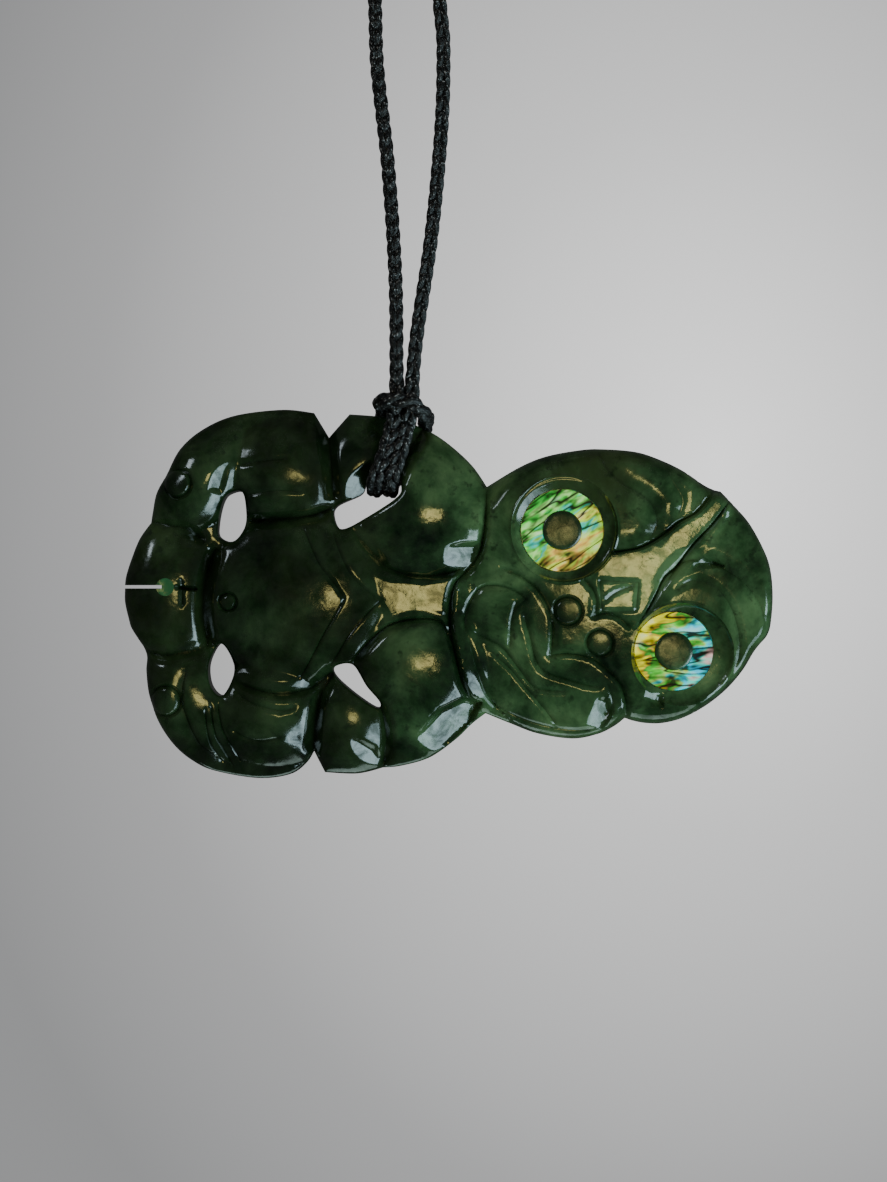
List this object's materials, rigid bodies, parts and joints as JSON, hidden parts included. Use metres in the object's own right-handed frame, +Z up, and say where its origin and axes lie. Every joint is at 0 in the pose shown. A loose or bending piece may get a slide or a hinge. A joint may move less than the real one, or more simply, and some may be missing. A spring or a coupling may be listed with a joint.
{
  "type": "hei tiki pendant",
  "caption": "Carved greenstone figure pendant with shell-ringed eyes, hung sideways on a black plaited cord loop that a bone tube closes at the nape.",
  "frame": {"origin": "middle of the bone tube at the nape, the top of the cord's loop, where the necklace hangs", "axes": "+Z up, +X towards the head of the carved figure, which hangs sideways, -Y the way its face looks"},
  "size_m": [0.1034, 0.0148, 0.2582],
  "materials": {
    "greenstone": "highly polished dark green nephrite",
    "shell": "polished paua shell with iridescent bands",
    "cord": "black plaited waxed thread",
    "bone": "smooth polished bone"
  },
  "bodies": {
    "root": {"tiki": "greenstone", "eye_ring_upper": "shell", "eye_ring_lower": "shell", "neck_cord": "cord", "clasp": "bone"}
  },
  "joints": []
}
